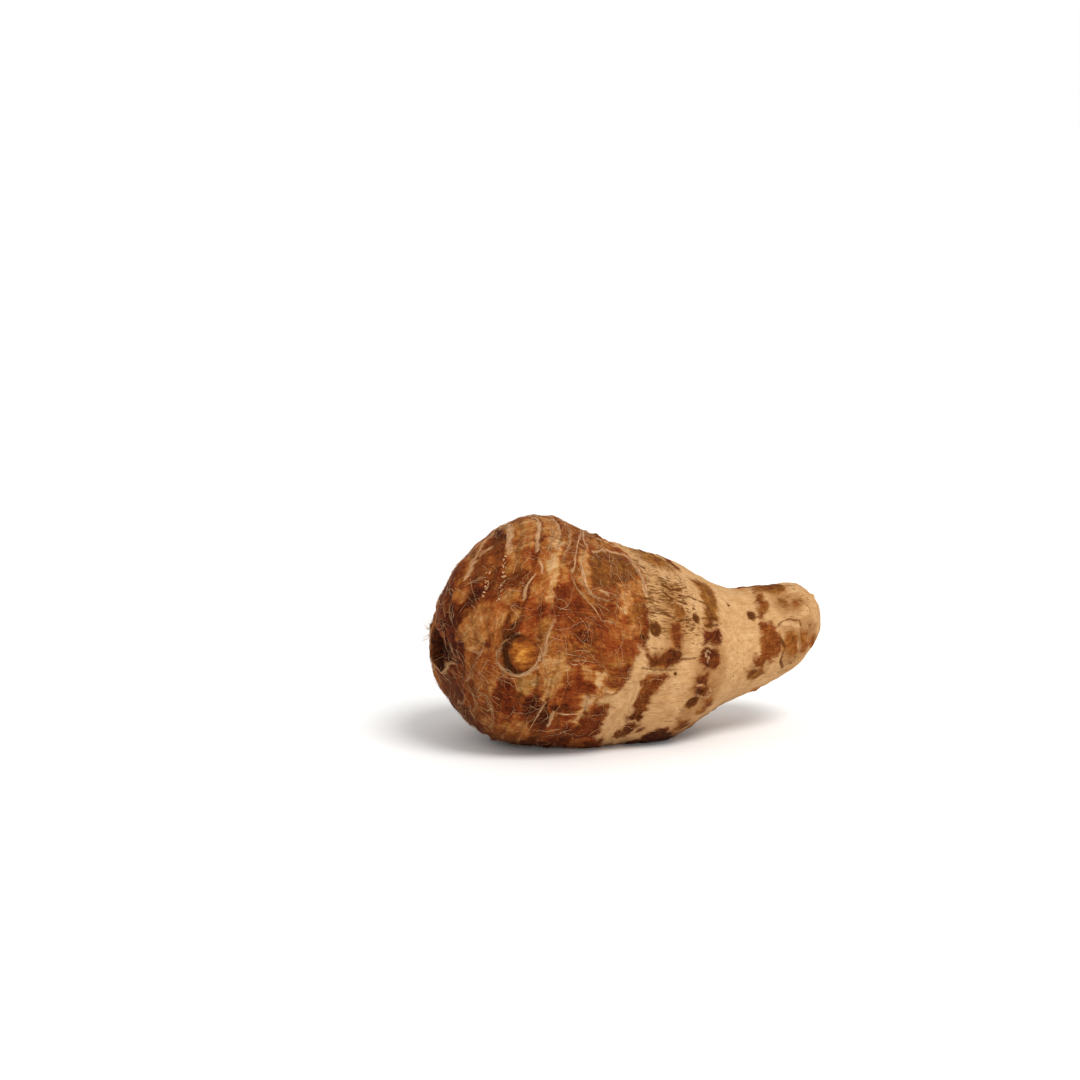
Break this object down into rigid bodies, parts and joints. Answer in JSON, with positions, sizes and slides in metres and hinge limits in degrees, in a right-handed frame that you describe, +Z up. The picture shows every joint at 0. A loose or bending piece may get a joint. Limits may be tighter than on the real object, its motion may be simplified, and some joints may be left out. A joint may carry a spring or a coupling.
{
  "type": "taro root",
  "caption": "Pear-shaped taro cormel: a fat ringed brown crown end with a pit and side buds, narrowing to a pale banded neck with a broken tip.",
  "frame": {"origin": "middle of the footprint, on the surface that the root rests on", "axes": "+X along the root from the pitted crown to the broken neck, -Y the side with the large bud, +Z up"},
  "size_m": [0.1017, 0.0588, 0.0562],
  "materials": {
    "skin": "matte dry fibrous root skin"
  },
  "bodies": {
    "root": {"corm": "skin"}
  },
  "joints": []
}
